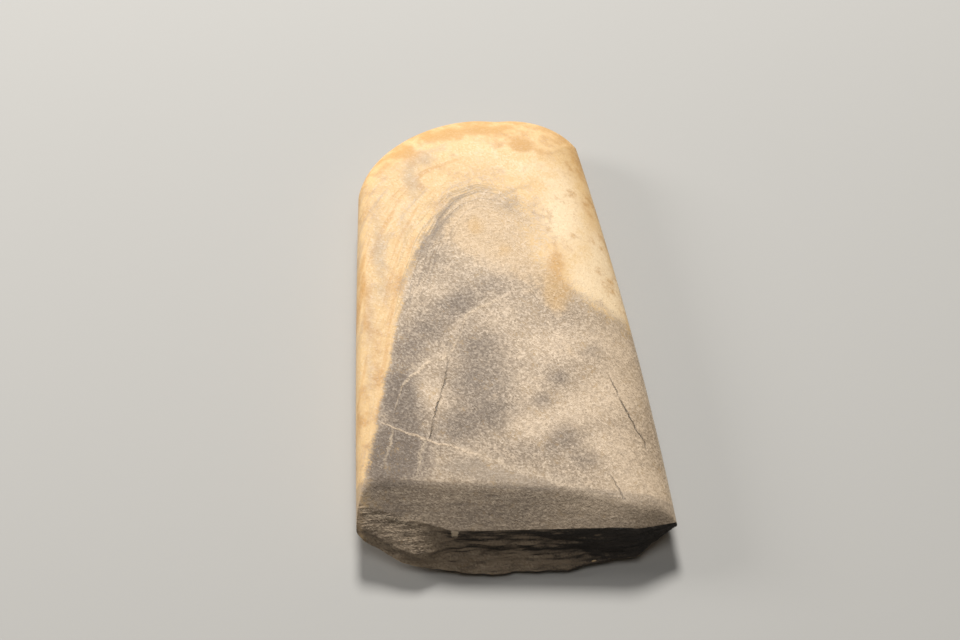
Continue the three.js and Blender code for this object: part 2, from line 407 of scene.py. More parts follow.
    def face_depth(self, x: Numbers, z: Numbers) -> Numbers:
        """How far down the broken face a place is.

        Args:
            x: Place across the blade.
            z: Its height.

        Returns:
            The share of the way down, from 0 at the brow to 1 at the foot.
        """
        within = self.edge_width / 2 - self.side_margin
        inner = np.clip(x, -within, within)
        side = np.where(inner < 0, -1.0, 1.0)
        top_y = self.brow(inner)
        low_y = self.foot(inner)
        top = self.side_height(Sheet.UPPER, inner / self.half_width(side, top_y), top_y)
        low = self.side_height(Sheet.LOWER, inner / self.half_width(side, low_y), low_y)
        return (top - z) / np.maximum(self.least_depth, top - low)

    def scar_share(self, x: Numbers) -> Numbers:
        """1 in the scar at the left of the break and 0 where the ledges are."""
        return 1 - smoothstep(x + self.scar_end, -self.steps_blend, self.steps_blend)

    def broken_face(self, x: Numbers, z: Numbers) -> Numbers:
        """The broken face.

        Args:
            x: Place across the blade.
            z: Its height.

        Returns:
            The face's y over x and z.
        """
        depth = self.face_depth(x, z)
        wander, pace, phase = self.ledge_wander
        depth = depth + wander * 4 * depth * (1 - depth) * waver(pace * x, phase)
        scar = self.scar_share(x)
        wall = smoothstep(x - self.wall_start, -self.steps_blend, self.steps_blend)
        stepped = lerp(self.middle_steps.run(depth), self.scar_steps.run(depth), scar)
        stepped = lerp(stepped, self.wall_steps.run(depth), wall)
        ripple, over, down = self.face_ripple
        ripple = ripple * waver(over * x, down * z) * smoothstep(depth, 0.0, self.ripple_start)
        return lerp(self.brow(x), self.foot(x), stepped) + ripple


@dataclass(frozen=True)
class Seam:
    """A thin line in the stone, such as a vein or a crack.

    Attributes:
        name: Name of the mesh attribute that holds it.
        travel: Whether it runs along the blade or across it.
        points: Places that it passes, in order of travel, and how strongly it shows at each.
    """

    name: str
    travel: Travel
    points: tuple[Point, ...]

    def measure(self, x: np.ndarray, y: np.ndarray) -> np.ndarray:
        """Where places lie against the line.

        Args:
            x: Places across the blade.
            y: Places along it.

        Returns:
            Signed distance from the line in millimetres, share of the way along it, and strength.
        """
        line = np.array(self.points)
        along = self.travel is Travel.ALONG
        run, off = (y, x) if along else (x, y)
        way, place = (line[:, 1], line[:, 0]) if along else (line[:, 0], line[:, 1])
        slope = (place[-1] - place[0]) / (way[-1] - way[0])
        apart = (off - np.interp(run, way, place)) / math.hypot(1.0, slope)
        strength = np.interp(run, way, line[:, 2], left=0.0, right=0.0)
        return np.stack([apart, (run - way[0]) / (way[-1] - way[0]), strength], axis=-1)


@dataclass(frozen=True)
class Stains:
    """Patches of one tone.

    Attributes:
        name: Name of the mesh attribute that holds them.
        patches: Middle, reach across the blade, reach along it and strength of each.
    """

    name: str
    patches: tuple[tuple[float, float, float, float, float], ...]

    def measure(self, x: np.ndarray, y: np.ndarray) -> np.ndarray:
        """Strength of the tone.

        Args:
            x: Places across the blade.
            y: Places along it.

        Returns:
            The strength at each place.
        """
        total = np.zeros_like(x)
        for middle_x, middle_y, reach_x, reach_y, strength in self.patches:
            away = ((x - middle_x) / reach_x) ** 2 + ((y - middle_y) / reach_y) ** 2
            total += strength * np.exp(-away)
        return total


@dataclass(frozen=True)
class StoneMarks:
    """Where the stone changes its tone, in the blade's own frame, in millimetres.

    Attributes:
        core_line: Edge of the grey core under the pale rind, as x, y and half the width over which one
            turns into the other.
        core_close: Corners that close the core's outline, clear of the blade.
        belly_core: How much of the core shows through on the belly.
        layer_span: Distance from one layer of the rind to the next.
        layer_length: Distance along the layers over which they change.
        layer_drift: How much they change across the blade, for each millimetre.
        layer_end: The x at which the layers begin to fade, and where they are gone.
        layer_depth: How deep in the core they are gone, and where they show in full.
        ring_middle: Depth in the core of the middle of the dark hairlines by its edge.
        ring_end: The x at which these begin to fade, and where they are gone.
        ring_depth: How far from their middle they are gone, and where they show in full.
        ring_rise: The y at which they begin to strengthen, and where they are full.
        ring_least: Their strength before that.
        seams: Veins, grooves and cracks.
        stains: Patches of other tones.
    """

    core_line: tuple[Point, ...] = (
        (-32.0, -6.0, 2.0), (-28.9, 10.5, 1.8), (-26.1, 22.3, 1.3), (-23.3, 34.4, 1.0),
        (-20.3, 47.0, 0.9), (-17.4, 57.5, 1.2), (-13.3, 69.5, 2.2), (-9.6, 76.5, 3.5), (-5.0, 82.0, 5.5),
        (0.5, 84.0, 8.0), (6.5, 82.0, 9.0), (10.0, 77.0, 9.5), (11.5, 69.0, 9.5), (13.0, 61.5, 7.0),
        (17.5, 54.5, 5.0), (23.5, 49.5, 4.5), (30.0, 46.0, 4.5), (36.0, 43.0, 4.5),
    )
    core_close: tuple[tuple[float, float], ...] = ((45.0, -30.0), (-36.0, -30.0))
    belly_core: float = 0.45
    layer_span: float = 2.6
    layer_length: float = 34.0
    layer_drift: float = 0.02
    layer_end: tuple[float, float] = (-8.0, 10.0)
    layer_depth: tuple[float, float] = (3.0, -1.0)
    ring_middle: float = 1.0
    ring_end: tuple[float, float] = (-2.0, 12.0)
    ring_depth: tuple[float, float] = (7.0, 1.0)
    ring_rise: tuple[float, float] = (40.0, 64.0)
    ring_least: float = 0.25
    seams: tuple[Seam, ...] = (
        Seam(
            "pale_vein",
            Travel.ACROSS,
            (
                (-25.2, 24.2, 0.0), (-24.5, 23.7, 0.8), (-20.3, 21.1, 0.8), (-15.4, 18.8, 0.9),
                (-13.6, 17.6, 1.2), (-11.6, 17.1, 0.9), (-7.8, 15.2, 0.5), (-4.0, 13.2, 0.2),
                (-1.0, 11.5, 0.0),
            ),
        ),
        Seam(
            "strip_edge",
            Travel.ACROSS,
            (
                (-13.0, 17.6, 0.0), (-7.8, 15.2, 0.6), (-0.3, 11.1, 0.9), (9.1, 6.7, 1.0),
                (14.7, 4.2, 0.8), (20.5, 1.4, 0.0),
            ),
        ),
        Seam(
            "brow_vein",
            Travel.ACROSS,
            (
                (-31.5, 6.4, 0.4), (-28.0, 4.9, 0.8), (-24.6, 3.9, 1.0), (-21.7, 2.6, 0.8),
                (-18.0, 0.9, 0.0),
            ),
        ),
        Seam(
            "left_vein",
            Travel.ALONG,
            (
                (-25.2, 12.0, 0.0), (-24.4, 16.1, 0.7), (-23.4, 19.6, 0.9), (-22.8, 22.4, 0.5),
            ),
        ),
        Seam(
            "middle_vein",
            Travel.ALONG,
            (
                (-19.0, 9.8, 0.0), (-17.8, 14.2, 0.8), (-17.0, 16.5, 0.7), (-16.2, 18.9, 0.8),
            ),
        ),
        Seam("right_vein", Travel.ALONG, ((-14.2, 10.0, 0.0), (-14.5, 13.9, 0.7), (-14.7, 17.8, 0.6))),
        Seam(
            "curved_vein",
            Travel.ACROSS,
            (
                (-22.6, 24.2, 0.0), (-21.3, 28.5, 0.5), (-20.0, 32.4, 0.6), (-18.2, 34.2, 0.8),
                (-16.0, 36.1, 0.9), (-13.8, 37.9, 1.0), (-11.8, 38.2, 0.9), (-8.9, 40.5, 0.6),
                (-7.0, 44.0, 0.3), (-5.6, 48.8, 0.7), (-1.4, 51.5, 0.8), (2.0, 53.0, 0.6),
                (6.0, 55.6, 0.0),
            ),
        ),
        Seam(
            "outer_arch",
            Travel.ALONG,
            (
                (-19.2, 55.0, 0.0), (-18.0, 58.7, 0.5), (-15.4, 64.8, 0.8), (-12.2, 69.8, 1.0),
                (-9.3, 73.7, 1.0), (-7.2, 78.1, 1.0), (-4.8, 80.8, 0.8), (-3.0, 82.6, 0.6),
                (0.7, 84.6, 0.0),
            ),
        ),
        Seam(
            "inner_arch",
            Travel.ALONG,
            (
                (-14.6, 63.5, 0.0), (-12.4, 67.8, 0.8), (-9.2, 72.3, 0.8), (-6.2, 76.6, 0.9),
                (-4.3, 79.0, 0.6), (-1.9, 81.1, 0.0),
            ),
        ),
        Seam(
            "right_arch",
            Travel.ACROSS,
            (
                (1.0, 80.6, 0.0), (3.4, 80.9, 0.8), (7.5, 82.5, 1.0), (11.4, 83.9, 0.8),
                (14.0, 85.4, 0.0),
            ),
        ),
        Seam(
            "groove",
            Travel.ALONG,
            (
                (-15.2, 18.6, 0.0), (-15.2, 19.4, 0.9), (-14.9, 21.0, 0.7), (-14.3, 23.4, 0.3),
                (-13.9, 25.3, 1.0), (-13.3, 27.0, 1.0), (-12.3, 29.4, 0.5), (-11.5, 31.8, 0.8),
                (-10.6, 35.5, 0.6), (-9.7, 40.1, 0.3), (-8.7, 43.0, 0.0),
            ),
        ),
        Seam(
            "crack",
            Travel.ALONG,
            (
                (27.9, 13.2, 0.0), (27.4, 16.0, 0.6), (26.2, 18.8, 0.9), (25.2, 21.9, 1.0),
                (24.0, 25.0, 0.9), (23.6, 26.6, 0.2), (23.4, 28.1, 0.7), (22.7, 30.4, 0.6),
                (22.2, 32.0, 0.0),
            ),
        ),
        Seam(
            "corner_crack",
            Travel.ALONG,
            (
                (21.3, 1.9, 0.5), (20.7, 4.3, 0.8), (19.5, 7.2, 0.6), (18.6, 9.0, 0.0),
            ),
        ),
    )
    stains: tuple[Stains, ...] = (
        Stains(
            "dark_stain",
            (
                (-7.0, 52.6, 4.5, 4.0, 1.0), (-13.1, 47.0, 4.0, 3.4, 0.7), (1.0, 57.3, 5.0, 3.5, 0.6),
                (-17.6, 42.2, 4.0, 4.0, 0.7), (-3.9, 41.0, 6.0, 4.5, 0.75), (-4.1, 32.3, 7.0, 5.0, 0.8),
                (-3.0, 23.5, 6.0, 4.5, 0.85), (-10.5, 21.0, 4.0, 4.0, 0.75), (-21.5, 16.0, 5.0, 6.0, 1.8),
                (-26.0, 15.0, 3.6, 5.0, 1.8), (-20.5, 29.0, 3.4, 8.0, 1.9), (12.2, 31.3, 2.2, 2.4, 0.65),
                (8.2, 26.2, 2.0, 1.8, 0.75), (19.6, 38.2, 2.8, 2.2, 0.7), (11.2, 17.6, 4.0, 3.0, 0.75),
                (15.4, 11.4, 3.4, 2.2, 0.7), (-9.4, 65.6, 3.0, 3.0, 0.3), (5.0, 14.5, 9.0, 2.6, 0.35),
                (-4.0, 2.6, 11.0, 3.2, 0.6), (-24.5, 5.2, 5.0, 1.8, 0.5), (7.1, 78.7, 4.0, 2.6, 0.6),
            ),
        ),
        Stains(
            "light_speckle",
            (
                (-13.6, 57.5, 5.0, 3.0, 0.5), (-8.9, 55.8, 3.0, 1.6, 0.4), (6.4, 65.9, 7.0, 6.0, 0.5),
                (1.5, 48.3, 4.0, 4.0, 0.4), (-10.2, 38.6, 3.0, 3.0, 0.4), (-15.5, 31.7, 3.4, 3.0, 0.35),
                (5.0, 29.8, 3.6, 4.6, 0.45), (1.8, 21.5, 3.0, 3.0, 0.4), (6.5, 20.0, 4.6, 3.2, 1.1),
                (14.5, 23.4, 4.4, 3.6, 1.2), (21.2, 27.3, 5.0, 5.0, 1.0), (20.5, 14.5, 5.5, 4.0, 1.0),
                (25.0, 6.0, 8.0, 5.0, 0.9), (16.0, 1.5, 9.0, 2.6, 0.5), (13.8, 39.5, 6.0, 4.0, 0.6),
                (24.0, 40.5, 7.0, 5.0, 0.7), (27.0, 30.0, 5.0, 8.0, 0.5), (7.1, 41.0, 5.0, 5.0, 0.45),
                (0.0, 74.0, 9.0, 9.0, 1.1), (4.0, 62.0, 8.0, 6.0, 0.35), (-13.5, 29.0, 2.4, 3.4, 0.7),
            ),
        ),
        Stains(
            "light_streak",
            (
                (-3.7, 50.2, 1.6, 1.2, 0.7), (-5.6, 48.6, 1.6, 1.2, 0.7), (-7.4, 46.6, 1.3, 1.6, 0.7),
                (-8.7, 44.0, 1.0, 1.8, 0.6), (-1.0, 51.6, 2.0, 1.0, 0.5), (2.2, 53.2, 1.8, 1.0, 0.5),
                (-13.9, 37.9, 2.0, 1.0, 0.7), (-17.4, 36.7, 2.0, 1.0, 0.6), (-10.6, 40.0, 1.8, 1.2, 0.5),
            ),
        ),
        Stains(
            "ochre_stain",
            (
                (14.1, 53.0, 3.6, 4.8, 1.6), (15.0, 61.7, 2.4, 4.6, 1.2), (11.5, 96.6, 2.3, 2.0, 2.8),
                (15.6, 94.5, 1.6, 1.5, 0.9), (-1.1, 73.8, 2.2, 3.0, 1.2), (4.6, 66.1, 2.0, 2.0, 1.2),
                (-9.5, 69.5, 1.4, 2.0, 0.7), (15.4, 37.5, 1.2, 1.4, 0.7), (24.4, 76.0, 1.6, 9.0, 0.6),
                (-24.4, 39.4, 1.5, 10.0, 0.5), (-28.6, 24.0, 1.6, 9.0, 0.4),
                (-25.9, 55.0, 1.4, 11.0, 0.9), (-29.6, 50.0, 0.9, 12.0, 0.5),
                (-19.4, 93.0, 2.4, 5.0, 0.8), (-6.2, 102.0, 4.0, 2.0, 1.1), (-15.6, 97.0, 3.4, 2.6, 1.1),
                (4.0, 103.0, 6.0, 1.6, 1.1), (0.0, 104.0, 20.0, 7.0, 0.6), (24.4, 92.0, 1.6, 7.0, 0.25),
            ),
        ),
        Stains(
            "grey_streak",
            (
                (-13.8, 88.0, 2.0, 5.5, 1.1), (-10.2, 94.4, 2.2, 2.4, 1.0), (-7.0, 97.1, 2.6, 1.4, 0.8),
                (-16.4, 77.0, 1.8, 6.0, 0.7), (-22.1, 66.8, 2.2, 4.6, 0.8), (-22.4, 56.5, 1.8, 4.0, 0.8),
                (-22.0, 73.0, 1.6, 9.0, 0.6), (-25.5, 51.0, 1.4, 8.0, 0.9), (-26.6, 38.0, 1.1, 8.0, 0.5),
                (3.0, 89.0, 5.0, 1.2, 0.3),
            ),
        ),
        Stains(
            "warm_core",
            (
                (-1.0, 74.0, 8.0, 8.0, 1.3), (7.0, 66.0, 7.0, 8.0, 0.8), (13.0, 58.0, 6.0, 7.0, 0.5),
            ),
        ),
        Stains(
            "pale_bloom",
            (
                (10.0, 90.0, 6.0, 3.5, 0.6), (1.7, 95.5, 6.0, 3.5, 0.5), (18.5, 74.0, 6.0, 9.0, 1.1),
                (22.0, 56.0, 6.0, 8.0, 1.1), (19.0, 86.0, 5.0, 6.0, 0.6), (26.8, 51.0, 1.8, 8.0, 1.1),
                (25.0, 64.0, 1.8, 8.0, 0.9), (-17.5, 79.0, 2.0, 6.0, 0.4),
            ),
        ),
        Stains(
            "smooth_strip",
            (
                (-10.1, 12.4, 6.0, 2.6, 0.8), (-2.5, 9.4, 6.5, 2.6, 0.9), (5.4, 6.8, 7.0, 1.8, 0.7),
            ),
        ),
        Stains("crumb", ((-12.5, 0.25, 0.45, 0.3, 1.2), (-11.8, 0.15, 0.35, 0.25, 1.1))),
    )

    def core_share(self, x: np.ndarray, y: np.ndarray) -> tuple[np.ndarray, np.ndarray]:
        """How far each place lies inside the grey core.

        Args:
            x: Places across the blade.
            y: Places along it.

        Returns:
            The share of core, from 0 in the rind to 1, and the signed distance from the core's edge in
            millimetres, positive inside.
        """
        line = np.array(self.core_line)
        nearest = np.full(x.shape, np.inf)
        softness = np.ones(x.shape)
        for (x0, y0, soft0), (x1, y1, soft1) in zip(line[:-1], line[1:]):
            run_x, run_y = x1 - x0, y1 - y0
            along = np.clip(((x - x0) * run_x + (y - y0) * run_y) / (run_x**2 + run_y**2), 0.0, 1.0)
            away = np.hypot(x - x0 - along * run_x, y - y0 - along * run_y)
            closer = away < nearest
            nearest = np.where(closer, away, nearest)
            softness = np.where(closer, lerp(soft0, soft1, along), softness)
        corners = [tuple(point[:2]) for point in self.core_line] + list(self.core_close)
        inside = np.zeros(x.shape, dtype=bool)
        for (x0, y0), (x1, y1) in zip(corners, corners[1:] + corners[:1]):
            if y0 == y1:
                continue
            crosses = (y0 > y) != (y1 > y)
            inside ^= crosses & (x < x0 + (y - y0) * (x1 - x0) / (y1 - y0))
        signed = np.where(inside, nearest, -nearest)
        return smoothstep(signed, -softness, softness), signed

    def measure(self, x: np.ndarray, y: np.ndarray, facing: np.ndarray) -> dict[str, np.ndarray]:
        """All the marks, by the name of their mesh attribute.

        Args:
            x: Places across the blade.
            y: Places along it.
            facing: 1 on the upper face and 0 on the belly, where the marks of the upper face fade.

        Returns:
            One value or one vector for each place, by name.
        """
        core, depth = self.core_share(x, y)
        way = (depth / self.layer_span, y / self.layer_length, self.layer_drift * x)
        layered = (1.0 - smoothstep(x, *self.layer_end)) * smoothstep(depth, *self.layer_depth)
        rings = 1.0 - smoothstep(x, *self.ring_end)
        rings = rings * smoothstep(np.abs(depth - self.ring_middle), *self.ring_depth)
        rings = rings * lerp(self.ring_least, 1.0, smoothstep(y, *self.ring_rise))
        marks = {
            "core": core * lerp(self.belly_core, 1.0, facing),
            "layer_way": np.stack(way, axis=-1),
            "layered": layered * facing,
            "ring_reach": rings * facing,
        }
        for stains in self.stains:
            marks[stains.name] = stains.measure(x, y) * facing
        for seam in self.seams:
            line = seam.measure(x, y)
            line[:, 2] *= facing
            marks[seam.name] = line
        return marks


def colour(code: str) -> tuple[float, float, float, float]:
    """Linear colour of an sRGB hex code.

    Args:
        code: The code, such as #C8B296.

    Returns:
        Red, green, blue and alpha.
    """
    parts = [int(code[place : place + 2], 16) / 255 for place in (1, 3, 5)]
    linear = [part / 12.92 if part <= 0.04045 else ((part + 0.055) / 1.055) ** 2.4 for part in parts]
    return (*linear, 1.0)


def add_node(
    tree: bpy.types.NodeTree,
    kind: str,
    inputs: dict[int | str, object] | None = None,
    output: int | str = 0,
    **settings: object,
) -> Socket | None:
    """Adds a node with its settings and links.

    Args:
        tree: The node tree.
        kind: The node's type, without the word that shader nodes begin with.
        inputs: A value, or the socket to link, for each input by its name or number.
        output: The output to give back, by its name or number.
        settings: The node's own properties.

    Returns:
        The chosen output socket, if the node has one.
    """
    node = tree.nodes.new("ShaderNode" + kind)
    for name, value in settings.items():
        setattr(node, name, value)
    for key, value in (inputs or {}).items():
        if isinstance(value, Socket):
            tree.links.new(value, node.inputs[key])
        else:
            node.inputs[key].default_value = value
    return node.outputs[output] if len(node.outputs) else None


@dataclass(frozen=True)
class Tint:
    """One layer of colour, laid where a pattern passes a level.

    Attributes:
        tone: Its colour, as an sRGB hex code.
        pattern: Name of the pattern: a mark on the mesh or one of the noises.
        start: Level at which the layer begins to show.
        full: Level at which it covers the most. Below start, it shows where the pattern is low.
        cover: How much it covers there.
        frays: How far the mottling, the blotches and the grain shift the level.
        within: Mark that the layer is kept within, if any.
    """

    tone: str
    pattern: str
    start: float
    full: float
    cover: float = 1.0
    frays: Point = (0.0, 0.0, 0.0)
    within: str = ""


@dataclass(frozen=True)
class Thread:
    """How a seam looks.

    Attributes:
        seam: Name of the seam.
        tone: Its colour.
        reach: Half its width in millimetres.
        wander: How far its middle wanders, in millimetres.
        cut: How deep it is, against the grain's relief.
        cover: How much it covers at its strongest.
    """

    seam: str
    tone: str
    reach: float
    wander: float
    cut: float = 0.0
    cover: float = 1.0


@dataclass
class StoneNodes:
    """The nodes of one stone material.

    Attributes:
        tree: The node tree.
        patterns: The noises, each about zero, and the marks on the mesh, by name.
        wanders: Patterns that bend a seam, and their weights.
        solid_share: Share of a seam's width in which it covers the most.
        gap_grain: How much the grain counts, against the flecks, in where a seam has gaps.
        gap_levels: Levels of these between which a seam comes back in full.
        gap_least: What is left of a seam in its gaps.
    """

    tree: bpy.types.NodeTree
    patterns: dict[str, Socket]
    wanders: tuple[tuple[str, float], ...] = (("blotches", 2.2), ("grain", 0.5))
    solid_share: float = 0.15
    gap_grain: float = 1.5
    gap_levels: tuple[float, float] = (-0.35, 0.05)
    gap_least: float = 0.25

    def share(self, tint: Tint) -> Socket:
        """Nodes for how much a layer covers.

        Args:
            tint: The layer.

        Returns:
            The cover, from 0 to the layer's own.
        """
        level = self.patterns[tint.pattern]
        for name, fray in zip(("mottling", "blotches", "grain"), tint.frays):
            if fray:
                shifted = {0: self.patterns[name], 1: fray, 2: level}
                level = add_node(self.tree, "Math", shifted, operation="MULTIPLY_ADD")
        span = {"Value": level, "From Min": tint.start, "From Max": tint.full, "To Max": tint.cover}
        cover = add_node(self.tree, "MapRange", span, interpolation_type="SMOOTHSTEP")
        if tint.within:
            kept = {0: cover, 1: self.patterns[tint.within]}
            cover = add_node(self.tree, "Math", kept, operation="MULTIPLY")
        return cover

    def lay(self, tone: Socket | tuple[float, ...], tints: tuple[Tint, ...]) -> Socket:
        """Nodes for layers of colour over a tone.

        Args:
            tone: Colour under the layers, as a value or a socket.
            tints: The layers, from the lowest up.

        Returns:
            The colour.
        """
        for tint in tints:
            layers = {0: self.share(tint), UNDER: tone, OVER: colour(tint.tone)}
            tone = add_node(self.tree, "Mix", layers, output=MIXED, data_type="RGBA")
        return tone

    def trace(self, thread: Thread) -> Socket:
        """Nodes for how much a seam covers: a wandering middle, a ragged width and gaps.

        Args:
            thread: How the seam looks.

        Returns:
            The cover.
        """
        seam = add_node(self.tree, "Attribute", output="Vector", attribute_name=thread.seam)
        away = add_node(self.tree, "SeparateXYZ", {"Vector": seam})
        strength = away.node.outputs["Z"]
        for name, weight in self.wanders:
            shifted = {0: self.patterns[name], 1: weight * thread.wander, 2: away}
            away = add_node(self.tree, "Math", shifted, operation="MULTIPLY_ADD")
        away = add_node(self.tree, "Math", {0: away}, operation="ABSOLUTE")
        solid = self.solid_share * thread.reach
        span = {"Value": away, "From Min": thread.reach, "From Max": solid, "To Max": thread.cover}
        line = add_node(self.tree, "MapRange", span, interpolation_type="SMOOTHSTEP")
        mixed = {0: self.patterns["grain"], 1: self.gap_grain, 2: self.patterns["flecks"]}
        gaps = add_node(self.tree, "Math", mixed, operation="MULTIPLY_ADD")
        low, high = self.gap_levels
        span = {"Value": gaps, "From Min": low, "From Max": high, "To Min": self.gap_least}
        gaps = add_node(self.tree, "MapRange", span, interpolation_type="SMOOTHSTEP")
        line = add_node(self.tree, "Math", {0: line, 1: strength}, operation="MULTIPLY")
        return add_node(self.tree, "Math", {0: line, 1: gaps}, operation="MULTIPLY")


@dataclass(frozen=True)
class BandedStone:
    """Fine banded mudstone, hardened and slightly slaty: what both of the blade's surfaces are made of.

    It has a dull, close grain that scatters light, so the colours lie near the surface, and the rind
    that weather and handling left on it is paler and warmer than the grey core.
    """

    name: str
    rind: str = "#D8B37C"
    core: str = "#9C866B"
    mottling_mm: float = 8.0
    blotches_mm: float = 2.4
    flecks_mm: float = 1.0
    grain_mm: float = 0.4  # grains of 0.15 mm, drawn over twice as coarse so that they show
    cell_mm: float = 0.3  # single grains, each with its own tone, coarser for the same reason
    grain_shares: tuple[float, float] = (0.6, 0.24)  # how much the noise and the single grains count
    grain_turn: float = 38.0  # degrees by which the grain slants over the face
    grain_stretch: float = 1.5
    striae_mm: Point = (9.0, 0.5, 0.5)  # scratches of the grinding, drawn wider so that they show
    striae_turn: float = -8.0
    strands_mm: Point = (7.0, 1.0, 0.8)  # ledges of the break
    noise_roughness: float = 0.65
    ior: float = 1.54  # quartz and mica
    roughness: float = 0.62
    glints: tuple[float, float] = (0.0, 0.0)  # change of roughness in the hollows and on the grain
    glint_level: float = 0.2  # level of the grain at which it is full
    relief: float = 0.00018  # metres of relief at full height
    rind_relief: float = 0.45  # and the share of it on the rind
    reliefs: tuple[tuple[str, float], ...] = (("flecks", 0.6), ("blotches", 0.4))  # beside the grain
    strand_relief: float = 0.0
    rind_tints: tuple[Tint, ...] = (
        Tint("#E9CDA3", "pale_bloom", 0.1, 1.0, 1.0, (1.6, 1.0, 0.2)),
        Tint("#C79A58", "mottling", 0.0, 0.30, 0.60, (0.0, 0.7, 0.2)),
        Tint("#E7CBA2", "mottling", -0.02, -0.30, 0.55, (0.0, -0.6, -0.2)),
        Tint("#B1977A", "layers", 0.02, 0.18, 0.65, (0.0, 0.3, 0.2), "layered"),
        Tint("#C08C46", "layers", -0.02, -0.18, 0.65, (0.0, -0.3, -0.2), "layered"),
        Tint("#B29A7B", "grey_streak", -0.1, 1.2, 0.80, (1.6, 1.2, 0.4)),
        Tint("#BA833B", "ochre_stain", 0.0, 1.5, 0.92, (2.0, 2.4, 1.0)),
        Tint("#C0904E", "poll_rim", 0.1, 1.2, 0.75, (2.2, 2.0, 0.8)),
        Tint("#EBD5B0", "grain", -0.04, 0.30, 0.28),
        Tint("#B58C55", "grain", 0.04, -0.30, 0.28),
    )
    core_tints: tuple[Tint, ...] = (
        Tint("#6A5A4A", "dark_stain", -0.25, 1.0, 1.0, (1.3, 1.3, 0.3)),
        Tint("#3F3226", "dark_stain", 0.6, 2.1, 1.0, (1.0, 1.0, 0.3)),
        Tint("#E0C5A3", "light_speckle", -0.3, 1.0, 0.60, (1.3, 1.5, 0.6)),
        Tint("#D6BD9E", "light_streak", 0.1, 0.9, 0.55, (0.8, 1.2, 0.6)),
        Tint("#E0C7A8", "flecks", -0.04, 0.30, 0.36, (0.0, 0.3, 0.4)),
        Tint("#6E5D4C", "flecks", 0.0, -0.30, 0.36, (0.0, 0.0, -0.4)),
        Tint("#E4CDB0", "grain", -0.10, 0.30, 0.50),
        Tint("#5C4E41", "grain", 0.04, -0.32, 0.50),
        Tint("#93826E", "smooth_strip", 0.15, 1.1, 0.62, (0.8, 0.9, 0.5)),
        Tint("#CDA873", "warm_core", 0.1, 1.0, 0.42, (1.0, 1.6, 0.8)),
        Tint("#665543", "dark_stain", 0.0, 1.5, 0.68, (1.0, 1.0, 0.3)),
    )
    border: Tint = Tint("", "core", 0.10, 0.90, 1.0, (0.9, 1.2, 1.2))  # where the core takes over
    skin_tints: tuple[Tint, ...] = (
        Tint("#C09758", "ochre_stain", 0.3, 1.3, 0.55, (1.0, 1.4, 0.6)),
        Tint("#6B5B4B", "hairlines", 0.045, 0.0, 0.45, (0.0, 0.04, 0.05), "ring_reach"),
        # painted shade: the bevel's tone is darkened for the shade that falls on it
        Tint("#75685A", "ground_bevel", 0.2, 1.0, 0.36),
        Tint("#C9B396", "striae", 0.04, 0.26, 0.30, (0.0, 0.0, 0.3), "ground_bevel"),
        Tint("#54493F", "striae", -0.03, -0.26, 0.40, (0.0, 0.0, -0.3), "ground_bevel"),
        # painted highlight: paler within about 2 mm of the outline, a rim of light along the edges
        Tint("#EED9B8", "from_edge", 2.0, 0.1, 0.42, (0.3, 0.9, 0.6)),
    )
    surface_tints: tuple[Tint, ...] = ()  # layers that only one of the surfaces has
    threads: tuple[Thread, ...] = (
        Thread("strip_edge", "#DCC4A5", 1.3, 1.6, 0.0, 0.40),
        Thread("pale_vein", "#D2B898", 0.42, 0.9, 0.2, 0.85),
        Thread("brow_vein", "#B8A387", 0.46, 0.9, 0.2),
        Thread("left_vein", "#BFA98C", 0.42, 1.6, 0.1, 0.8),
        Thread("middle_vein", "#BFA98C", 0.46, 1.8, 0.1, 0.8),
        Thread("right_vein", "#BFA98C", 0.36, 1.6, 0.1, 0.8),
        Thread("curved_vein", "#CDB596", 0.46, 1.2, 0.2),
        Thread("outer_arch", "#6C5B4A", 0.95, 1.2, -0.1, 0.60),
        Thread("inner_arch", "#6C5B4A", 0.70, 1.2, -0.1, 0.50),
        Thread("right_arch", "#7A6650", 0.95, 1.4, -0.1, 0.25),
        Thread("groove", "#4A4038", 0.27, 0.9, -1.6, 0.8),
        Thread("crack", "#43392F", 0.21, 0.6, -2.0, 0.85),
        Thread("corner_crack", "#4F443A", 0.26, 0.9, -1.2, 0.8),
    )

    def patterns(self, tree: bpy.types.NodeTree) -> dict[str, Socket]:
        """Nodes for the stone's patterns: the noises, each about zero, and the marks on the mesh.

        Args:
            tree: The node tree.

        Returns:
            The patterns by name.
        """
        place = add_node(tree, "TexCoord", output="Object")
        spot = add_node(tree, "VectorMath", {"Vector": place, "Scale": 1 / MM}, operation="SCALE")
        ways = {}
        for name, turn, scale in (
            ("slanted", self.grain_turn, (1.0, self.grain_stretch, 1.0)),
            ("ground", self.striae_turn, self.striae_mm),
            ("drawn", 0.0, self.strands_mm),
        ):
            pose = {"Vector": spot, "Rotation": (0.0, 0.0, math.radians(turn)), "Scale": scale}
            ways[name] = add_node(tree, "Mapping", pose, vector_type="TEXTURE")
        layers = add_node(tree, "Attribute", output="Vector", attribute_name="layer_way")
        patterns = {}
        for name, way, span, detail in (
            ("mottling", spot, self.mottling_mm, 5.0),
            ("blotches", ways["slanted"], self.blotches_mm, 4.0),
            ("flecks", ways["slanted"], self.flecks_mm, 2.0),
            ("grain", ways["slanted"], self.grain_mm, 2.0),
            ("striae", ways["ground"], 1.0, 2.0),
            ("layers", layers, 1.0, 3.0),
            ("strands", ways["drawn"], 1.0, 4.0),
        ):
            look = {"Vector": way, "Scale": 1 / span, "Detail": detail, "Roughness": self.noise_roughness}
            cloud = add_node(tree, "TexNoise", look)
            patterns[name] = add_node(tree, "Math", {0: cloud, 1: 0.5}, operation="SUBTRACT")
        look = {"Vector": ways["slanted"], "Scale": 1 / self.cell_mm, "Randomness": 1.0}
        cells = add_node(tree, "TexVoronoi", look, output="Color")
        cell = add_node(tree, "SeparateColor", {"Color": cells})
        cell = add_node(tree, "Math", {0: cell, 1: 0.5}, operation="SUBTRACT")
        of_noise, of_cells = self.grain_shares
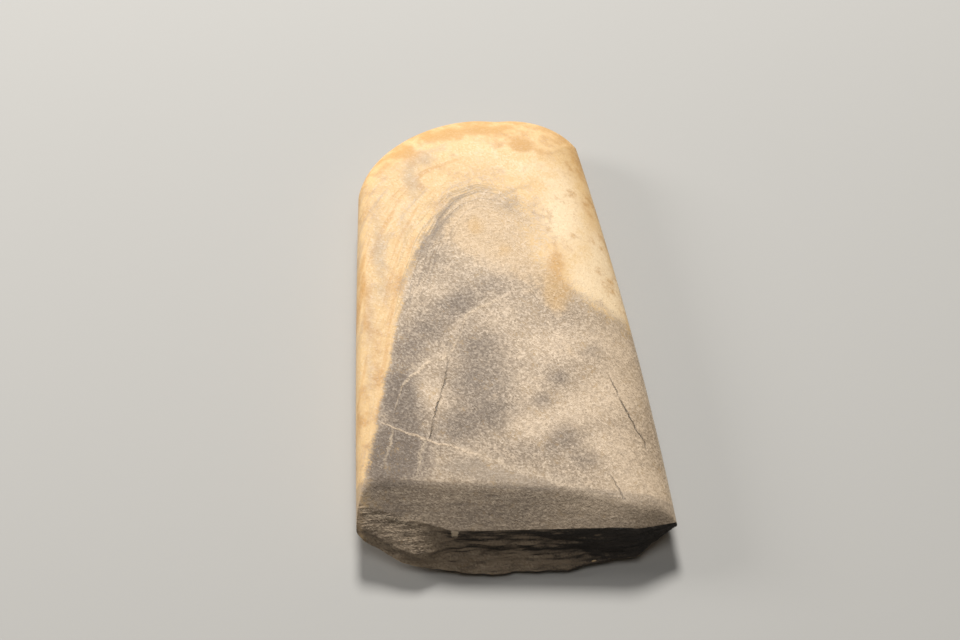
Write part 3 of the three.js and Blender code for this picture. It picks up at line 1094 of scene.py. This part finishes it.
        grain = add_node(tree, "Math", {0: patterns["grain"], 1: of_noise}, operation="MULTIPLY")
        patterns["grain"] = add_node(tree, "Math", {0: cell, 1: of_cells, 2: grain}, operation="MULTIPLY_ADD")
        patterns["hairlines"] = add_node(tree, "Math", {0: patterns["layers"]}, operation="ABSOLUTE")
        tints = (*self.rind_tints, *self.core_tints, *self.skin_tints, *self.surface_tints, self.border)
        marks = {tint.pattern for tint in tints} | {tint.within for tint in tints}
        for name in sorted(marks - set(patterns) - {""}):
            patterns[name] = add_node(tree, "Attribute", output="Fac", attribute_name=name)
        return patterns

    def make(self) -> bpy.types.Material:
        """Builds the material: rind, core, seams and skin, from the lowest layer up.

        Returns:
            The finished material.
        """
        material = bpy.data.materials.new(self.name)
        material.use_nodes = True
        tree = material.node_tree
        tree.nodes.clear()
        patterns = self.patterns(tree)
        nodes = StoneNodes(tree, patterns)
        rind = nodes.lay(colour(self.rind), self.rind_tints)
        core = nodes.lay(colour(self.core), self.core_tints)
        inside = nodes.share(self.border)
        tone = add_node(tree, "Mix", {0: inside, UNDER: rind, OVER: core}, output=MIXED, data_type="RGBA")
        height = patterns["grain"]
        for name, weight in self.reliefs:
            added = {0: patterns[name], 1: weight, 2: height}
            height = add_node(tree, "Math", added, operation="MULTIPLY_ADD")
        grip = add_node(tree, "MapRange", {"Value": inside, "To Min": self.rind_relief, "To Max": 1.0})
        height = add_node(tree, "Math", {0: height, 1: grip}, operation="MULTIPLY")
        for thread in self.threads:
            line = nodes.trace(thread)
            layers = {0: line, UNDER: tone, OVER: colour(thread.tone)}
            tone = add_node(tree, "Mix", layers, output=MIXED, data_type="RGBA")
            height = add_node(tree, "Math", {0: line, 1: thread.cut, 2: height}, operation="MULTIPLY_ADD")
        tone = nodes.lay(tone, (*self.skin_tints, *self.surface_tints))
        if self.strand_relief:
            raised = {0: patterns["strands"], 1: self.strand_relief, 2: height}
            height = add_node(tree, "Math", raised, operation="MULTIPLY_ADD")
        normal = add_node(tree, "Bump", {"Strength": 1.0, "Distance": self.relief, "Height": height})
        surface = {"Base Color": tone, "Roughness": self.roughness, "IOR": self.ior, "Normal": normal}
        if any(self.glints):
            hollow, raised = (self.roughness + glint for glint in self.glints)
            span = {"Value": patterns["grain"], "From Min": -self.glint_level, "From Max": self.glint_level}
            surface["Roughness"] = add_node(tree, "MapRange", {**span, "To Min": hollow, "To Max": raised})
        add_node(tree, "OutputMaterial", {"Surface": add_node(tree, "BsdfPrincipled", surface)})
        return material


@dataclass(frozen=True)
class GroundStone(BandedStone):
    """The stone ground on wet sandstone: smooth to the hand and matte, with a faint sheen.

    The eye sees it as silky, not glossy: highlights spread wide, and only the grain glints.
    """

    glints: tuple[float, float] = (0.1, -0.06)


@dataclass(frozen=True)
class BrokenStone(BandedStone):
    """The stone where it broke: matte and rough, with painted shade on its steep walls and towards its right
    end.

    The eye sees it as much darker than the ground surface: its grain throws shade, and shade is painted on.
    """

    ior: float = 1.5
    roughness: float = 0.87
    relief: float = 0.00045
    strand_relief: float = 1.2
    surface_tints: tuple[Tint, ...] = (
        Tint("#8D7A62", "mottling", -0.2, 0.2, 0.5, (0.0, 0.5, 0.3)),
        # a striped tone of the break, partly painted light and shade: lighter on the crests of the bumped
        # strands, darker in their hollows, and darkest there within the painted shade
        Tint("#51463A", "strands", 0.02, -0.2, 0.36, (0.0, 0.4, 0.5)),
        Tint("#332B22", "strands", 0.05, -0.2, 0.9, (0.0, 0.4, 0.5), "soil"),
        Tint("#AE987E", "strands", 0.05, 0.28, 0.52, (0.0, 0.52, 0.6)),
        # painted shade: dark on steep and undercut walls and towards the right end of the break
        Tint("#2A2520", "soil", 0.15, 1.15, 0.95, (0.0, 1.4, 1.4)),
        Tint("#E6D0B2", "crumb", 0.35, 0.8, 0.95, (0.4, 0.8, 0.8)),
    )


@dataclass(frozen=True)
class StudioFloor:
    """Plain pale board, painted matte: it takes soft shadows and shows no highlight."""

    name: str = "matte_painted_board"
    tone: str = "#ADAAA4"
    size: float = 4.0
    roughness: float = 0.8
    grit_count: float = 900.0  # grains across the board: 4.4 mm each, drawn coarse so that they show
    grit_strength: float = 0.3
    grit_relief: float = 0.00004  # metres

    def material(self) -> bpy.types.Material:
        """Builds the paint.

        Returns:
            The finished material.
        """
        material = bpy.data.materials.new(self.name)
        material.use_nodes = True
        tree = material.node_tree
        tree.nodes.clear()
        grit = add_node(tree, "TexNoise", {"Scale": self.grit_count, "Detail": 2.0})
        bump = {"Strength": self.grit_strength, "Distance": self.grit_relief, "Height": grit}
        surface = {"Base Color": colour(self.tone), "Roughness": self.roughness}
        surface["Normal"] = add_node(tree, "Bump", bump)
        add_node(tree, "OutputMaterial", {"Surface": add_node(tree, "BsdfPrincipled", surface)})
        return material

    def build(self) -> bpy.types.Object:
        """Builds the floor at the height that the blade lies on.

        Returns:
            The floor.
        """
        half = self.size / 2
        mesh = bpy.data.meshes.new("studio_floor")
        corners = [(-half, -half, 0.0), (half, -half, 0.0), (half, half, 0.0), (-half, half, 0.0)]
        mesh.from_pydata(corners, [], [(0, 1, 2, 3)])
        mesh.materials.append(self.material())
        floor = bpy.data.objects.new("studio_floor", mesh)
        bpy.context.scene.collection.objects.link(floor)
        return floor


@dataclass(frozen=True)
class Studio:
    """Light and camera: places and sizes in metres, powers in watts, lens and sensor in millimetres.

    The camera stands at the photograph's angle: 52 degrees above level, turned 5.7 degrees off the
    blade's length. The key light hangs behind the poll, so the upper face is bright, the bevel darker
    and the break in shade.
    """

    camera_place: Point = (-0.0281, -0.2587, 0.3412)
    camera_sight: Point = (0.0611, 0.6127, -0.7880)
    lens: float = 75.0
    sensor: float = 36.0
    nearest: float = 0.01
    key_place: Point = (0.03, 0.82, 0.80)
    light_target: Point = (0.0, 0.01, 0.01)
    key_size: float = 0.30
    key_power: float = 17.0
    fill_place: Point = (0.0, -0.1, 1.0)
    fill_size: float = 0.7
    fill_power: float = 2.4
    side_place: Point = (-0.8, 0.35, 0.35)
    side_power: float = 4.6
    room_light: float = 0.05

    def build(self) -> None:
        """Sets up the camera, the lights and the room's light."""
        scene = bpy.context.scene
        lens = bpy.data.cameras.new("camera")
        lens.lens = self.lens
        lens.sensor_width = self.sensor
        lens.clip_start = self.nearest
        camera = bpy.data.objects.new("camera", lens)
        camera.location = self.camera_place
        camera.rotation_euler = Vector(self.camera_sight).to_track_quat("-Z", "Y").to_euler()
        scene.collection.objects.link(camera)
        scene.camera = camera
        self.hang("key_light", self.key_place, self.key_size, self.key_power)
        self.hang("overhead_fill", self.fill_place, self.fill_size, self.fill_power)
        self.hang("side_light", self.side_place, self.key_size, self.side_power)
        room = bpy.data.worlds.new("room")
        room.use_nodes = True
        tree = room.node_tree
        tree.nodes.clear()
        glow = add_node(tree, "Background", {"Color": (1.0, 1.0, 1.0, 1.0), "Strength": self.room_light})
        add_node(tree, "OutputWorld", {"Surface": glow})
        scene.world = room
        scene.view_settings.view_transform = "Standard"

    def hang(self, name: str, place: Point, size: float, power: float) -> None:
        """Hangs a round soft light that looks at the blade.

        Args:
            name: Name of the light.
            place: Where it hangs, in metres.
            size: Its width in metres.
            power: Its power in watts.
        """
        lamp = bpy.data.lights.new(name, "AREA")
        lamp.shape = "DISK"
        lamp.size = size
        lamp.energy = power
        light = bpy.data.objects.new(name, lamp)
        light.location = place
        sight = Vector(self.light_target) - Vector(place)
        light.rotation_euler = sight.to_track_quat("-Z", "Y").to_euler()
        light.visible_camera = False
        bpy.context.scene.collection.objects.link(light)


@dataclass(frozen=True)
class Wear:
    """Small unevenness of the stone, in millimetres."""

    ground_swell: float = 0.05  # depth of the slow waves that hand grinding leaves
    ground_span: float = 11.0  # and how far apart they are
    rest_margin: float = 0.01  # height under which the belly's worn flat stays level
    face_relief: float = 0.26  # roughness of the broken face, coarse and fine
    face_span: float = 1.9
    face_draw: float = 2.2  # how much longer the roughness is along the edge than down the break
    face_fractal: tuple[float, float, int] = (0.9, 2.1, 3)  # fall, spread and number of its octaves
    grit_relief: float = 0.08
    grit_span: float = 0.7
    strand_relief: float = 0.34  # depth of the long thin ledges on the break
    strand_span: Point = (9.0, 1.6, 1.3)  # how long, deep and high they are
    strand_fractal: tuple[float, float, int] = (0.8, 2.0, 3)
    strand_level: float = 0.2  # their mean, which is taken off
    scar_share: float = 0.45  # the scar at the left is smoother, by this share
    push_out: float = 0.85  # how much of the roughness goes outward and upward
    push_up: float = 0.5


@dataclass
class Patch:
    """One grid of the blade's surface.

    Attributes:
        points: The grid, as rows by columns by xyz, in millimetres.
        from_edge: Distance of each point from the blade's outline.
        facing: 1 where the marks of the upper face show and 0 on the belly.
        broken: True for the broken face.
        rim_rows: How many rows from the border the break's roughness is full.
        rim_columns: And how many columns.
    """

    points: np.ndarray
    from_edge: np.ndarray
    facing: np.ndarray
    broken: bool = False
    rim_rows: float = 3.0
    rim_columns: float = 6.0

    def reverse(self) -> Patch:
        """The same patch with its rows in reverse, so that it faces the other way."""
        return Patch(self.points[::-1], self.from_edge[::-1], self.facing[::-1], self.broken)

    def rim_share(self) -> np.ndarray:
        """How much of the roughness each point may take, so that the border stays closed.

        Returns:
            0 on the patch's border and 1 from a few rows inside it.
        """
        rows, columns = self.points.shape[:2]
        down = np.minimum(np.arange(rows), np.arange(rows)[::-1]) / self.rim_rows
        over = np.minimum(np.arange(columns), np.arange(columns)[::-1]) / self.rim_columns
        return np.clip(down, 0.0, 1.0)[:, None] * np.clip(over, 0.0, 1.0)[None, :]


@dataclass
class AdzeBlade:
    """The blade as one closed mesh."""

    form: BladeForm
    wear: Wear
    marks: StoneMarks
    name: str = "ground_adze_blade"
    columns: int = 100  # from the centre line to each side
    rows: int = 104  # from the break to where the poll fans out
    poll_columns: int = 112
    poll_step: float = 0.8  # spacing of the poll's rays along the sides
    face_rows: int = 64
    face_samples: int = 8  # points tried for each row of the break
    front_tries: int = 80  # times that the front line is drawn nearer to the break, by half each time
    side_crowding: float = 1.8  # how much finer the columns get towards the sides
    row_start: float = 0.25  # row spacing at the break, as a share of the mean
    sharp_angle: float = 42.0  # degrees from which an edge of the mesh stays crisp
    weld: float = 0.0015  # points closer than this are one
    face_from_edge: float = 3.0  # distance from the outline that the break counts as
    facing_fade: tuple[float, float] = (7.0, 0.5)  # where the upper face's marks end under the sides
    poll_rim: tuple[float, float] = (11.0, 0.5)  # how far the poll's ochre rim reaches, and is full
    poll_rim_start: tuple[float, float] = (-12.0, 14.0)  # where along the sides it begins, from the fan
    shade_rise: tuple[float, float] = (-1.0, 23.0)  # the x between which the painted shade builds up
    shade_shares: tuple[float, float] = (0.95, 0.6)  # painted shade at the right end, and less of it in the scar

    def across(self) -> np.ndarray:
        """Columns from one side to the other, closer together at the sides.

        Returns:
            Their places, from -1 at the left side to 1 at the right side.
        """
        t = np.linspace(0.0, 1.0, self.columns + 1)
        out = 1 - (1 - t) ** self.side_crowding
        return np.concatenate([-out[:0:-1], out])

    def front_line(self, sheet: Sheet, across: np.ndarray) -> np.ndarray:
        """Where each column meets the broken face, found by repeated substitution.

        Args:
            sheet: The surface that the columns run on.
            across: The columns.

        Returns:
            The y of each column's front end.
        """
        side = np.where(across < 0, -1.0, 1.0)
        start = across * self.form.half_width(side, 0.0)
        y = self.form.brow(start) if sheet is Sheet.UPPER else self.form.foot(start)
        for _ in range(self.front_tries):
            x = across * self.form.half_width(side, y)
            y = lerp(y, self.form.broken_face(x, self.form.side_height(sheet, across, y)), 0.5)
        return y

    def facing(self, sheet: Sheet, from_edge: np.ndarray) -> np.ndarray:
        """How far the marks of the upper face reach: all over it, and a little way under the sides."""
        return np.ones_like(from_edge) if sheet is Sheet.UPPER else smoothstep(from_edge, *self.facing_fade)

    def side_patch(self, sheet: Sheet) -> Patch:
        """The surface from the break to where the poll fans out.

        Args:
            sheet: The upper or the lower surface.

        Returns:
            The patch, from the break on.
        """
        across = self.across()
        side = np.where(across < 0, -1.0, 1.0)
        front = self.front_line(sheet, across)
        t = np.linspace(0.0, 1.0, self.rows + 1)[:, None]
        grade = self.row_start * t + (1 - self.row_start) * t**2
        y = lerp(front[None, :], self.form.fan, grade)
        half = self.form.half_width(side, y)
        z = self.form.side_height(sheet, np.broadcast_to(across, y.shape), y)
        points = np.stack([across * half, y, z], axis=-1)
        outline_z = np.maximum(z[:, [0]], z[:, [-1]])
        from_edge = np.hypot((1 - np.abs(across)) * half, outline_z - z)
        return Patch(points, from_edge, self.facing(sheet, from_edge))

    def side_run(self, side: Side, shoulder_y: float) -> np.ndarray:
        """Outline points from the fan to the shoulder.

        Args:
            side: Which side.
            shoulder_y: Where it ends.

        Returns:
            The points' x and y, without the shoulder itself.
        """
        count = max(1, round((shoulder_y - self.form.fan) / self.poll_step))
        y = np.linspace(self.form.fan, shoulder_y, count + 1)[:-1]
        return np.stack([side.value * self.form.half_width(side.value, y), y], axis=-1)

    def poll_patch(self, sheet: Sheet) -> Patch:
        """The surface that fans out over the poll.

        Args:
            sheet: The upper or the lower surface.

        Returns:
            The patch, with a row for each ray, from the left side round to the right.
        """
        form = self.form
        left, right = form.shoulder(Side.LEFT), form.shoulder(Side.RIGHT)
        turn = (1 - np.cos(np.linspace(0.0, math.pi, self.poll_columns + 1))) / 2
        x = lerp(left[0], right[0], turn)
        poll = np.stack([x, form.poll_line(x)], axis=-1)
        left_run = self.side_run(Side.LEFT, left[1])
        right_run = self.side_run(Side.RIGHT, right[1])
        edge = np.concatenate([left_run, poll, right_run[::-1]])
        share = self.across()[self.columns :][None, :]
        edge_x, edge_y = edge[:, :1], edge[:, 1:]
        z = form.height(sheet, share, edge_x, edge_y, form.fan)
        points = np.stack([edge_x * share, lerp(form.fan, edge_y, share), z], axis=-1)
        from_edge = np.hypot((1 - share) * np.hypot(edge_x, edge_y - form.fan), z[:, -1:] - z)
        return Patch(points, from_edge, self.facing(sheet, from_edge))

    def face_patch(self, brow: np.ndarray, foot: np.ndarray) -> Patch:
        """The broken face, with its rows evenly spaced down each column's profile.

        Args:
            brow: Points along the upper line of the break.
            foot: Points along its lower line.

        Returns:
            The patch, from the brow down.
        """
        fine = np.linspace(0.0, 1.0, self.face_samples * self.face_rows + 1)[:, None]
        z = lerp(brow[None, :, 2], foot[None, :, 2], fine)
        x = lerp(brow[None, :, 0], foot[None, :, 0], fine)
        y = self.form.broken_face(x, z)
        y = y + lerp(brow[:, 1] - y[0], foot[:, 1] - y[-1], fine)
        steps = np.hypot(np.diff(y, axis=0), np.diff(z, axis=0))
        walked = np.concatenate([np.zeros((1, steps.shape[1])), np.cumsum(steps, axis=0)])
        rows = np.linspace(0.0, 1.0, self.face_rows + 1)
        points = np.empty((rows.size, brow.shape[0], 3))
        for column in range(brow.shape[0]):
            way = rows * walked[-1, column]
            for axis, values in enumerate((x, y, z)):
                points[:, column, axis] = np.interp(way, walked[:, column], values[:, column])
        grid = points.shape[:2]
        return Patch(points, np.full(grid, self.face_from_edge), np.ones(grid), True)

    def roughen(self, points: np.ndarray, push_share: np.ndarray) -> np.ndarray:
        """Adds the small unevenness of the stone.

        Args:
            points: Points of the mesh.
            push_share: How far each point takes on the roughness of the break, 0 to 1.

        Returns:
            The moved points.
        """
        moved = points.copy()
        wear = self.wear
        for index, point in enumerate(points):
            spot = Vector(point)
            if point[2] > wear.rest_margin:
                moved[index, 2] += wear.ground_swell * noise.noise(spot / wear.ground_span)
            if push_share[index] > 0.0:
                drawn_out = Vector((point[0] / wear.face_draw, point[1], point[2]))
                coarse = noise.fractal(drawn_out / wear.face_span, *wear.face_fractal)
                grit = noise.noise(spot / wear.grit_span)
                strand = Vector(length / span for length, span in zip(point, wear.strand_span))
                ledge = abs(noise.fractal(strand, *wear.strand_fractal)) - wear.strand_level
                push = wear.face_relief * coarse + wear.grit_relief * grit
                push += wear.strand_relief * ledge * push_share[index]
                push *= push_share[index]
                moved[index, 1] -= push * wear.push_out
                moved[index, 2] += push * wear.push_up
        return moved

    def measure(self, patches: list[Patch], points: np.ndarray) -> dict[str, np.ndarray]:
        """Marks of the stone and of its wear, and the break's painted shade, for the materials.

        Args:
            patches: The patches of the surface.
            points: All their points, before they are roughened.

        Returns:
            One value or one vector for each point, by the name of its attribute.
        """
        x, y = points[:, 0], points[:, 1]
        facing = np.concatenate([patch.facing.reshape(-1) for patch in patches])
        from_edge = np.concatenate([patch.from_edge.reshape(-1) for patch in patches])
        bevel, _ = self.form.flats()
        near_poll = smoothstep(y - self.form.fan, *self.poll_rim_start)
        right_shade, scar_shade = self.shade_shares
        measured = self.marks.measure(x, y, facing)
        measured["from_edge"] = from_edge
        measured["ground_bevel"] = smoothstep(self.form.thickness - bevel.height(x, y), 0.0, 1.0) * facing
        measured["poll_rim"] = smoothstep(from_edge, *self.poll_rim) * near_poll
        # painted shade on the break: more towards the right end, less in the scar at the left
        measured["soil"] = right_shade * smoothstep(x, *self.shade_rise) - scar_shade * self.form.scar_share(x)
        return measured

    def mesh(self, middle: Vector) -> bpy.types.Mesh:
        """Builds the mesh.

        Args:
            middle: Middle of the CAD blade in plan, and the height that it lies on, in metres.

        Returns:
            The mesh, with the stone's marks as attributes.
        """
        upper, lower = self.side_patch(Sheet.UPPER), self.side_patch(Sheet.LOWER)
        face = self.face_patch(upper.points[0], lower.points[0])
        poll_top, poll_belly = self.poll_patch(Sheet.UPPER), self.poll_patch(Sheet.LOWER)
        patches = [upper, lower.reverse(), poll_top.reverse(), poll_belly, face.reverse()]
        faces, broken = [], []
        count = 0
        for patch in patches:
            rows, columns = patch.points.shape[:2]
            index = count + np.arange(rows * columns).reshape(rows, columns)
            quads = np.stack([index[:-1, :-1], index[:-1, 1:], index[1:, 1:], index[1:, :-1]], axis=-1)
            faces.append(quads.reshape(-1, 4))
            broken.append(np.full(quads.shape[0] * quads.shape[1], patch.broken, dtype=np.int32))
            count += rows * columns
        points = np.concatenate([patch.points.reshape(-1, 3) for patch in patches])
        push = np.concatenate([(patch.rim_share() * patch.broken).reshape(-1) for patch in patches])
        push *= lerp(1.0, self.wear.scar_share, self.form.scar_share(points[:, 0]))
        moved = self.roughen(points, push)
        low, high = moved.min(axis=0), moved.max(axis=0)
        centre = np.array([(low[0] + high[0]) / 2, (low[1] + high[1]) / 2, 0.0])
        placed = (moved - centre) * MM + np.array(middle)
        mesh = bpy.data.meshes.new(self.name)
        mesh.from_pydata(placed.tolist(), [], np.concatenate(faces).tolist())
        mesh.polygons.foreach_set("material_index", np.concatenate(broken))
        for name, values in self.measure(patches, points).items():
            kind, slot = ("FLOAT_VECTOR", "vector") if values.ndim == 2 else ("FLOAT", "value")
            attribute = mesh.attributes.new(name, kind, "POINT")
            attribute.data.foreach_set(slot, values.astype(np.float32).ravel())
        return mesh

    def join(self, mesh: bpy.types.Mesh) -> None:
        """Joins the patches to one closed surface and shades it, with the crisp edges kept.

        Args:
            mesh: The mesh of the patches, which lie edge to edge.
        """
        work = bmesh.new()
        work.from_mesh(mesh)
        bmesh.ops.remove_doubles(work, verts=work.verts, dist=self.weld * MM)
        bmesh.ops.dissolve_degenerate(work, edges=work.edges, dist=self.weld * MM / 3)
        work.to_mesh(mesh)
        gaps = sum(not edge.is_manifold for edge in work.edges)
        triangles = sum(len(face.verts) - 2 for face in work.faces)
        LOG.info("%s: %d triangles, %d open edges", self.name, triangles, gaps)
        work.free()
        # painted shade: more where the surface turns away from above, on steep and undercut walls
        for vertex, soil in zip(mesh.vertices, mesh.attributes["soil"].data):
            soil.value += 1.0 - max(0.0, vertex.normal.z)
        mesh.polygons.foreach_set("use_smooth", np.ones(len(mesh.polygons), dtype=bool))
        mesh.set_sharp_from_angle(angle=math.radians(self.sharp_angle))
        mesh.update()

    def build(self, middle: Vector, ground: BandedStone, broken: BandedStone) -> bpy.types.Object:
        """Builds the blade and dresses it.

        Args:
            middle: Middle of the CAD blade in plan, and the height that it lies on, in metres.
            ground: Finish of the ground surface.
            broken: Finish of the broken face.

        Returns:
            The finished object.
        """
        mesh = self.mesh(middle)
        self.join(mesh)
        mesh.materials.append(ground.make())
        mesh.materials.append(broken.make())
        blade = bpy.data.objects.new(self.name, mesh)
        bpy.context.scene.collection.objects.link(blade)
        return blade


def main() -> None:
    """Builds the blade and the studio in order."""
    logging.basicConfig(level=logging.INFO, format="%(message)s")
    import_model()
    low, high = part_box(CAD_NODE)
    middle = Vector(((low[0] + high[0]) / 2, (low[1] + high[1]) / 2, low[2]))
    ground = GroundStone("ground_banded_mudstone")
    broken = BrokenStone("broken_banded_mudstone")
    blade = AdzeBlade(BladeForm(), Wear(), StoneMarks()).build(middle, ground, broken)
    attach(blade, "root")
    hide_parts(CAD_NODE)
    LOG.info("%s: rides on root and replaces %s", blade.name, CAD_NODE)
    floor = StudioFloor().build()
    LOG.info("%s: staged", floor.name)
    Studio().build()
    LOG.info("camera and lights: set")


if __name__ == "__main__":
    main()
